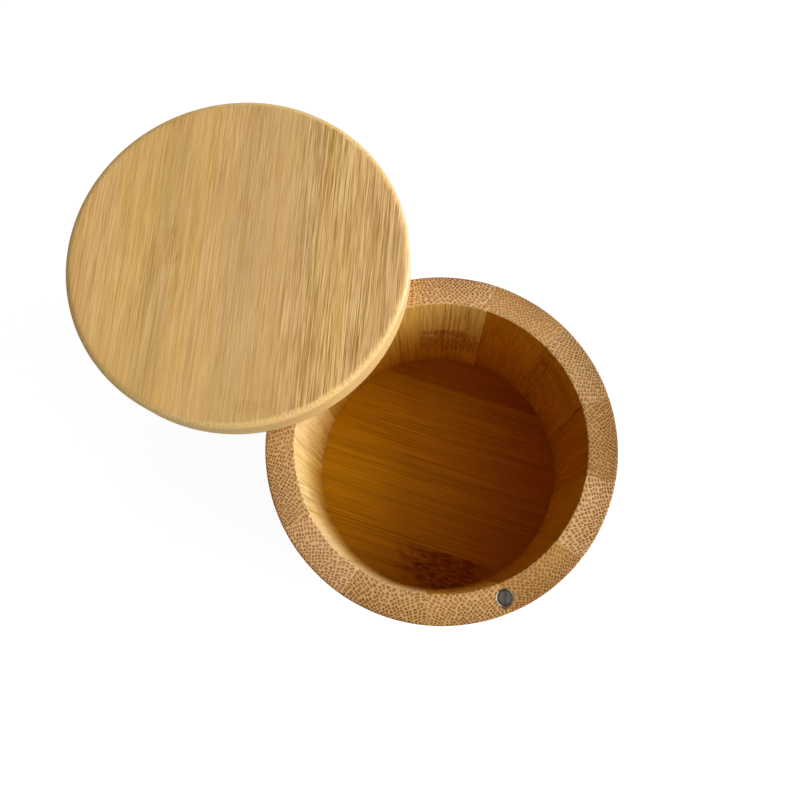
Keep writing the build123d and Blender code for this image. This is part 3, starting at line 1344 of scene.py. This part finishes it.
@dataclass
class FloorDisc:
    """The floor: glued strips turned to one disc, let into the foot of the wall."""

    radius: float = 39.75
    thickness: float = 7.0
    edge_round: tuple[Point, ...] = ((0.3, 0.0), (0.1, 0.06), (0.0, 0.3))  # in from the edge and the face
    grain_heading: float = -35.0
    joints: tuple[float, ...] = (-23.95, 1.4, 26.75)
    sharp: float = 12.0
    arc_points: int = 49
    first_number: int = 21
    # painted shade: the floor's top colours are darker and more orange than its bare underside's, for the
    # shade and bounced light deep inside the box
    finish: BambooFinish = BambooFinish(
        under=(214, 182, 124), far_shade=(222, 178, 186), end_ground=(180, 112, 20),
        skin_ground=(160, 96, 14), bundle=(110, 56, 8), line=(120, 60, 6), streaks=0.8, grouping=0.18,
        lines=0.12, shortness=0.02, tone_drift=0.14, crowding=0.02, gloss=0.05,
    )
    # each strip's own tone, darkened by the same painted shade
    grounds: tuple[Colour, ...] = ((188, 128, 12), (190, 130, 10), (195, 130, 8), (172, 99, 9))
    marks: tuple[tuple[NodeMark, ...], ...] = ((NodeMark(-29.5, 11.5, 10.0, 15.0, 0.95),), (), (), ())

    def strip(self, number: int, low: float, high: float) -> bpy.types.Object:
        """Builds one strip.

        Its outline in (across, along) is the disc between two parallel sides: along runs from
        -w to w, with w = sqrt(radius^2 - across^2). The section over the thickness draws that
        outline in a little at top and bottom.

        Args:
            number: the strip's number, from 1.
            low: the across of its lower side.
            high: the across of its upper side.

        Returns:
            The strip's object.
        """
        upper = [(inset, self.thickness - level) for inset, level in reversed(self.edge_round)]
        levels = [*self.edge_round, *upper]
        rings = [self.outline(low, high, inset) for inset, _ in levels]
        count = len(rings[0])
        across, along = np.vstack(rings).T
        up = np.repeat([level for _, level in levels], count)
        cap = np.arange(count)
        faces = [grid_faces(len(levels), count, False, True), np.stack((cap, len(up) - 1 - cap))]
        angle = math.radians(self.grain_heading)
        x = along * math.cos(angle) - across * math.sin(angle)
        y = along * math.sin(angle) + across * math.cos(angle)
        return to_mesh(f"floor_board_{number}", np.column_stack((x, y, up)), faces, self.sharp)

    def outline(self, low: float, high: float, inset: float) -> np.ndarray:
        """Draws the outline of a strip at one height.

        A side that is a glue joint isn't drawn in, so that the strips lie tight.

        Args:
            low: the across of its lower side.
            high: the across of its upper side.
            inset: how far the outline is drawn in at the disc's edge.

        Returns:
            Rows of across and along.
        """
        radius = self.radius - inset
        low_side, high_side = max(low, -radius), min(high, radius)
        start, end = np.arcsin(low_side / radius), np.arcsin(high_side / radius)
        angle = np.linspace(start, end, self.arc_points)
        far = radius * np.column_stack((np.sin(angle), np.cos(angle)))
        near = far[::-1] * (1, -1)
        if high_side >= radius:
            near = near[1:]
        if low_side <= -radius:
            near = near[:-1]
        return np.vstack((far, near))

    def build(self) -> None:
        """Builds and dresses every strip."""
        sides = (-self.radius, *self.joints, self.radius)
        strips = zip(sides, sides[1:], self.grounds, self.marks)
        for index, (low, high, ground, marks) in enumerate(strips):
            number = index + 1
            piece = self.strip(number, low, high)
            cut = Cut(Grain.LEVEL, self.grain_heading, (0.0, 0.0, 0.0), self.first_number + index)
            material = replace(self.finish, ground=ground).material(f"bamboo_floor_{number}", cut, marks)
            dress(piece, material, "box", "bamboo_floor", f"floor_strip_{number}")


@dataclass
class SwivelLid:
    """The lid: three cross-laminated plies, a magnet, and the hole that the pin turns in."""

    radius: float = 44.49
    ply: float = 3.0
    top_round: float = 1.5
    top_stretch: float = 1.4
    under_round: float = 0.5
    ply_groove: float = 0.08
    swing_radius: float = 40.7
    pin_heading: float = 90.0
    pin_hole_radius: float = 1.55
    pin_hole_depth: float = 5.999
    pocket_radius: float = 2.15
    pocket_depth: float = 2.1
    magnet_heading: float = -85.0
    grain_in_lid: float = 6.6
    hidden_streaks: float = 0.4
    first_number: int = 31
    steps_round: int = 288
    finish: BambooFinish = BambooFinish(
        ground=(202, 161, 100), end_ground=(214, 182, 123), skin_ground=(212, 179, 120),
        bundle=(166, 124, 68), line=(150, 106, 54), bundle_pitch=0.85, crowding=0.01, dot_contrast=0.34,
        dot_size=0.4, end_reach=(0.1, 0.36), edge=(215, 193, 141), streaks=0.62, grouping=0.2, lines=0.12,
        shortness=0.05, tone_drift=0.06, hue_drift=0.4, mark_tint=(0.6, 0.42, 0.16), gloss=0.12,
        bands=(ToneBand(-20.0, 5.0, 0.07), ToneBand(-32.0, 22.0, 0.025),
               ToneBand(22.0, 34.0, 0.085, takes=(1.0, 0.85, 0.1)), ToneBand(34.0, 24.0, 0.0, 1.1),
               ToneBand(17.0, 6.0, 0.03), ToneBand(0.5, 4.0, 0.03)),
    )
    marks: tuple[NodeMark, ...] = (NodeMark(-16.9, -2.2, 2.5, 9.0, 0.3), NodeMark(7.7, 38.5, 5.0, 2.0, 0.2))
    open_heading: float = field(init=False)
    centre: Point = field(init=False)
    underside: float = field(init=False)

    def __post_init__(self) -> None:
        """Takes the open lid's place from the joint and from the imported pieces."""
        joint = next(j for j in frame["joints"] if j["name"] == "lid_swivel")
        self.open_heading = -joint["range_deg"][1]
        self.centre = upright_place("lid_face_ply")[0]
        self.underside = upright_place("lid_back_ply")[1]

    def place(self, radius: float, heading_in_lid: float) -> Point:
        """Where a point of the shut lid lies on the open one, as x and y."""
        x, y = turned(radius, heading_in_lid + self.open_heading)
        return self.centre[0] + x, self.centre[1] + y

    def foot(self, low: float, steps: int) -> Run:
        """The lower edge of a ply whose foot is at this height, eased in, and its way to the axis."""
        r, ease = self.radius, self.ply_groove
        return straight([(r, low + ease), (r - ease, low), (0, low)], [2, steps])

    def sections(self) -> dict[str, Section]:
        """Draws the plies' sections.

        Returns:
            Each ply's section by its name, from the middle of its top out, down and back in.
        """
        r, ease, round_, soft = self.radius, self.ply_groove, self.under_round, self.top_round
        low, core, face, top = (self.underside + count * self.ply for count in range(4))
        wide = soft * self.top_stretch
        return {
            "back": Section([
                straight([(0, core), (r - ease, core), (r, core - ease), (r, low + round_)], [12, 2, 4]),
                rounded((r - round_, low + round_), round_, 0, -90, 6),
                straight([(r - round_, low), (0, low)], [24]),
            ]),
            "core": Section([
                straight([(0, face), (r - ease, face), (r, face - ease), (r, core + ease)], [8, 2, 4]),
                self.foot(core, 8),
            ]),
            "face": Section([
                straight([(0, top), (r - wide, top)], [30]),
                rounded((r - wide, top - soft), soft, 90, 0, 16, self.top_stretch),
                straight([(r, top - soft), (r, face + ease)], [4]),
                self.foot(face, 8),
            ]),
        }

    def build(self) -> None:
        """Builds, bores and dresses the plies."""
        low, clear = self.underside, self.underside - BORE_CLEAR
        pin = self.place(self.swing_radius, self.pin_heading)
        magnet = self.place(self.swing_radius, self.magnet_heading)
        pin_hole = Bore(pin, self.pin_hole_radius, clear, low + self.pin_hole_depth)
        pocket = Bore(magnet, self.pocket_radius, clear, low + self.pocket_depth)
        along = self.grain_in_lid + self.open_heading
        hidden = replace(self.finish, bands=(), streaks=self.hidden_streaks)
        plies = (
            ("back", along, hidden, (), (pin_hole, pocket)),
            ("core", along + 90, hidden, (), (pin_hole,)),
            ("face", along, self.finish, self.marks, ()),
        )
        sections = self.sections()
        for number, (name, heading, finish, marks, holes) in enumerate(plies, start=self.first_number):
            piece = turned_piece(f"lid_{name}_board", sections[name], self.centre, self.steps_round)
            for hole in holes:
                hole.cut(piece)
            cut = Cut(Grain.LEVEL, heading, (*self.centre, low), number)
            material = finish.material(f"bamboo_lid_{name}", cut, marks)
            dress(piece, material, "lid", "bamboo_lid", f"lid_{name}_ply")


@dataclass(frozen=True)
class Wave:
    """A size that swings evenly round a circle, this many times and from this phase in radians."""

    mean: float
    swing: float
    count: int
    phase: float = 0.0

    def at(self, heading: np.ndarray) -> np.ndarray:
        """The size at each heading in radians: mean + swing * sin(count * heading + phase)."""
        return self.mean + self.swing * np.sin(self.count * heading + self.phase)


@dataclass
class Hardware:
    """The pin and the two magnets, with the glue round the rim's magnet."""

    magnet_radius: float = 2.0
    magnet_round: float = 0.25
    pocket_radius: float = 2.15
    pocket_recess: float = 0.1
    pin_radius: float = 1.5
    pin_chamfer: float = 0.3
    disc_steps: int = 96
    pin_steps: int = 64
    tube_steps: int = 16
    tube_sharp: float = 80.0
    inner_lap: Wave = Wave(0.06, 0.04, 3, 0.7)  # how far the glue laps onto the magnet
    outer_lap: Wave = Wave(-0.02, 0.02, 5)  # and onto the rim
    rise: Wave = Wave(0.05, 0.01, 4, 1.0)
    sink: Point = (0.02, 0.25)  # how deep it is in all, and how much more in the gap
    spill_heading: float = -104.0
    spill_spread: float = 0.34
    spill: float = 0.75
    spill_rise: float = 0.03
    # a low lip of glue at this heading, whose dark colour is a painted shadow of the pocket's edge
    lip_heading: float = -8.0
    lip: float = 0.2
    plating: MetalFinish = MetalFinish((89, 82, 76), 0.3, 0.22, 1.0, 0.55, 0.7)
    steel: MetalFinish = MetalFinish((176, 176, 176), 0.25, 0.2, 0.15)
    glue: GlueFinish = GlueFinish()

    def magnet(self, name: str, node: str, body: str) -> None:
        """Builds a magnet in its node's place: a disc with rounded edges.

        Args:
            name: the piece's name.
            node: the CAD node that it replaces.
            body: the body that it rides on.
        """
        centre, base, top = upright_place(node)
        radius, soft = self.magnet_radius, self.magnet_round
        flat = radius - soft
        section = Section([
            straight([(0, top), (flat, top)], [10]),
            rounded((flat, top - soft), soft, 90, 0, 8),
            straight([(radius, top - soft), (radius, base + soft)], [4]),
            rounded((flat, base + soft), soft, 0, -90, 8),
            straight([(flat, base), (0, base)], [10]),
        ])
        piece = turned_piece(name, section, centre, self.disc_steps)
        dress(piece, self.plating.material(name + "_plating", centre, radius), body, "magnet_plating", node)

    def pin(self) -> None:
        """Builds the pin in its node's place: a dowel with chamfered ends."""
        centre, base, top = upright_place("pivot_pin")
        radius, slant = self.pin_radius, self.pin_chamfer
        flat = radius - slant
        upper = [(0, top), (flat, top), (radius, top - slant)]
        lower = [(radius, base + slant), (flat, base), (0, base)]
        section = Section([straight(upper + lower, [6, 3, 40, 3, 6])])
        piece = turned_piece("swivel_pin", section, centre, self.pin_steps)
        dress(piece, self.steel.material("ground_steel", centre, radius), "box", "pin_steel", "pivot_pin")

    def glue_ring(self) -> None:
        """Builds the glue round the rim's magnet.

        A closed tube of a flat section is carried round the gap between magnet and pocket. Its
        outer side swells over the rim where glue ran out, by a bell curve about one heading, and
        by a low lip about another, whose dark colour is a painted shadow of the pocket's edge. It
        climbs onto the rim by a smooth step in the radius, and its inner side laps a little onto
        the magnet by a slow wave.
        """
        centre, _, top = upright_place("rim_magnet")
        heading = np.linspace(0, 2 * np.pi, self.disc_steps, endpoint=False)[:, None]
        ring = np.linspace(0, 2 * np.pi, self.tube_steps, endpoint=False)[None, :]
        off_spill = np.angle(np.exp(1j * (heading - math.radians(self.spill_heading))))
        spill = np.exp(-(off_spill / self.spill_spread) ** 2)
        lip = np.clip(np.cos(heading - math.radians(self.lip_heading)), 0, 1) ** 2
        inner = self.magnet_radius - self.inner_lap.at(heading)
        outer = self.pocket_radius + self.outer_lap.at(heading) + self.lip * lip + self.spill * spill
        radius = (inner + outer) / 2 + (outer - inner) / 2 * np.cos(ring)
        climb = np.clip((radius - self.magnet_radius) / (self.pocket_radius - self.magnet_radius), 0, 1)
        onto = self.pocket_recess * climb ** 2 * (3 - 2 * climb)
        rise = self.rise.at(heading) + self.spill_rise * spill
        sink = self.sink[0] + self.sink[1] * (1 - climb)
        z = top + onto + np.where(np.sin(ring) > 0, rise, sink) * np.sin(ring)
        x, y = centre[0] + radius * np.cos(heading), centre[1] + radius * np.sin(heading)
        points = np.stack((x, y, z), axis=-1).reshape(-1, 3)
        faces = [grid_faces(self.disc_steps, self.tube_steps, True, True)]
        piece = to_mesh("rim_magnet_glue", points, faces, self.tube_sharp)
        dress(piece, self.glue.material("dried_glue", centre), "box", "magnet_plating")

    def build(self) -> None:
        """Builds and dresses the pin, the magnets and the glue."""
        self.magnet("rim_magnet_disc", "rim_magnet", "box")
        self.magnet("lid_magnet_disc", "lid_magnet", "lid")
        self.pin()
        self.glue_ring()


@dataclass
class Studio:
    """The floor, the light and the camera. Lengths are in millimetres and angles in degrees."""

    eye: Triple = (-12.92, -28.77, 260.63)
    looks_at: Triple = (-6.5, 13.74, 62.5)
    picture_up: float = 73.12
    lens: float = 35.70
    sensor: float = 36.0
    clip: Point = (10.0, 20000.0)
    key_heading: float = -20.0
    key_elevation: float = 31.0
    key_distance: float = 1400.0
    key_middle: float = 40.0
    key_width: float = 1500.0
    key_height: float = 960.0
    key_power: float = 33.5
    key_colour: Triple = (1.0, 0.985, 0.96)
    dome_zenith: float = 0.08
    dome_horizon: float = 0.45
    dome_colour: tuple[float, ...] = (1.0, 0.99, 0.97, 1.0)
    glow_elevation: float = 50.0
    glow_start: float = 0.2
    glow: float = 0.42
    floor_size: float = 6000.0
    floor_colour: tuple[float, ...] = (0.85, 0.85, 0.85, 1.0)
    floor_glow: float = 1.13
    floor_share: float = 0.82

    def camera(self) -> None:
        """Sets the camera where the photograph was taken from."""
        eye, target = Vector(self.eye), Vector(self.looks_at)
        forward = (target - eye).normalized()
        right = forward.cross(Vector((*turned(1.0, self.picture_up), 0.0))).normalized()
        turn = Matrix((right, right.cross(forward), -forward)).transposed().to_4x4()
        data = bpy.data.cameras.new("camera")
        data.lens, data.sensor_width = self.lens, self.sensor
        data.clip_start, data.clip_end = (distance * METRE for distance in self.clip)
        camera = bpy.data.objects.new("camera", data)
        bpy.context.scene.collection.objects.link(camera)
        camera.matrix_world = Matrix.Translation(eye * METRE) @ turn
        bpy.context.scene.camera = camera

    def key_light(self) -> None:
        """Sets a large soft light low at the right of the picture."""
        data = bpy.data.lights.new("key", "AREA")
        data.shape, data.energy, data.color = "RECTANGLE", self.key_power, self.key_colour
        data.size, data.size_y = self.key_width * METRE, self.key_height * METRE
        light = bpy.data.objects.new("key", data)
        bpy.context.scene.collection.objects.link(light)
        way = Vector(raised(self.key_heading, self.key_elevation))
        light.location = (way * self.key_distance + Vector((0, 0, self.key_middle))) * METRE
        light.rotation_euler = (-way).to_track_quat("-Z", "Y").to_euler()

    def dome(self) -> None:
        """Fills from all round, more from low down and from the light's side, before plain white."""
        world = bpy.data.worlds.new("dome")
        bpy.context.scene.world = world
        t = ShaderTree(world)
        way = t.add("TexCoord", {}, "Generated")
        sky = t.ranged(way.split()[2], (0.0, 1.0), (self.dome_horizon, self.dome_zenith))
        toward = t.dot(way, raised(self.key_heading, self.glow_elevation))
        light = sky + toward.ease(self.glow_start, 1.0, 0.0, self.glow)
        seen = t.add("LightPath", {}, "Is Camera Ray")
        for ray in ("Is Glossy Ray", "Is Transmission Ray"):
            seen = t.step("MAXIMUM", seen, t.add("LightPath", {}, ray))
        fill = t.add("Background", {"Color": self.dome_colour, "Strength": light})
        t.mix(seen, fill, t.add("Background", {"Color": WHITE}), "World")

    def floor(self) -> None:
        """Lays a plain white floor, which looks white where it is lit and keeps the shadow."""
        corners = np.array([(-1, -1, 0), (1, -1, 0), (1, 1, 0), (-1, 1, 0)])
        mesh = bpy.data.meshes.new("floor")
        mesh.from_pydata((corners * self.floor_size / 2 * METRE).tolist(), [], [[0, 1, 2, 3]])
        floor = bpy.data.objects.new("floor", mesh)
        bpy.context.scene.collection.objects.link(floor)
        t = new_tree("white_floor")
        seen = t.add("LightPath", {}, "Is Camera Ray") * self.floor_share
        glow = t.add("Emission", {"Strength": self.floor_glow})
        t.mix(seen, t.add("BsdfDiffuse", {"Color": self.floor_colour}), glow, "Material")
        mesh.materials.append(t.owner)

    def build(self) -> None:
        """Sets up the camera, the lights and the floor."""
        self.camera()
        self.key_light()
        self.dome()
        self.floor()
        bpy.context.scene.view_settings.view_transform = "Standard"


def main() -> None:
    """Builds the sub-assemblies in order, then the studio."""
    logging.basicConfig(level=logging.INFO, format="%(name)s: %(message)s")
    for assembly in (StaveRing(), FloorDisc(), SwivelLid(), Hardware(), Studio()):
        log.info("building %s", type(assembly).__name__)
        assembly.build()


if __name__ == "__main__":
    main()
